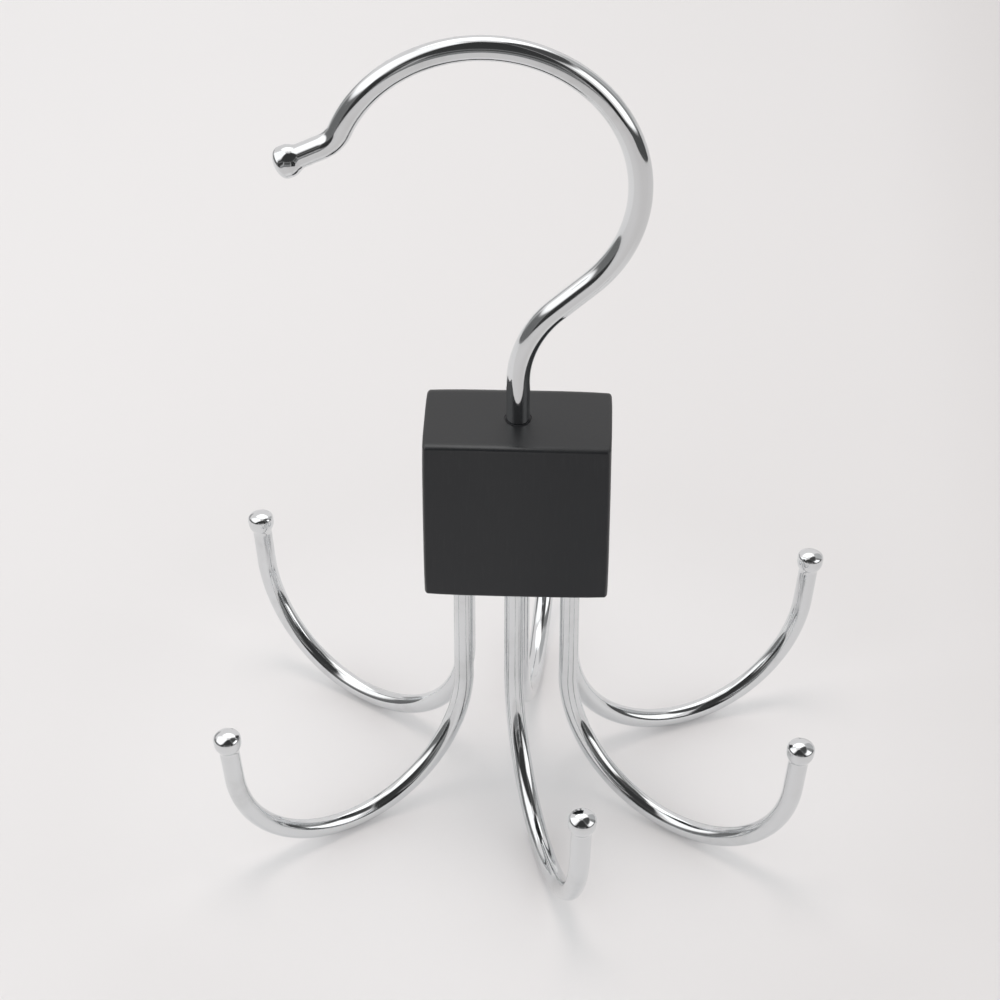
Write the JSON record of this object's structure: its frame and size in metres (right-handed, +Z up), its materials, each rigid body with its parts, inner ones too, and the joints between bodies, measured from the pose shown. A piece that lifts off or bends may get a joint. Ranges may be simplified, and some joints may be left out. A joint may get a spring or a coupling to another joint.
{
  "type": "tie hanger",
  "caption": "Tie hanger with a black block, chrome wire arms bent up into ball-tipped cradles below it, and a swivelling wire hook above it for a wardrobe rail.",
  "frame": {"origin": "on the hook's swivel axis, in the plane that the undersides of the arms stand on", "axes": "+Z up along the swivel axis, +X to the right along the block's wide front, -Y towards the front"},
  "size_m": [0.1193, 0.1165, 0.1678],
  "materials": {
    "black_paint": "satin black paint on hardwood, edges eased",
    "black_nylon": "extruded black nylon, matte",
    "spring_steel": "bright drawn spring wire",
    "chrome_wire": "polished chrome plate on drawn steel wire",
    "chrome_balls": "polished chrome plate on turned steel"
  },
  "bodies": {
    "carrier": {"block": "black_paint", "swivel_sleeve": "black_nylon", "arm_front_left": "chrome_wire", "arm_back_left": "chrome_wire", "arm_front": "chrome_wire", "arm_back": "chrome_wire", "arm_front_right": "chrome_wire", "arm_back_right": "chrome_wire", "ball_tip_front_left": "chrome_balls", "ball_tip_back_left": "chrome_balls", "ball_tip_front": "chrome_balls", "ball_tip_back": "chrome_balls", "ball_tip_front_right": "chrome_balls", "ball_tip_back_right": "chrome_balls"},
    "hook": {"hook": "chrome_wire", "snap_ring": "spring_steel", "hook_ball_tip": "chrome_balls"}
  },
  "joints": [
    {"name": "hook_swivel", "type": "hinge", "parent": "carrier", "child": "hook", "pos_m": [0, 0, 0.08722], "axis": [0, 0, 1], "continuous": true}
  ]
}
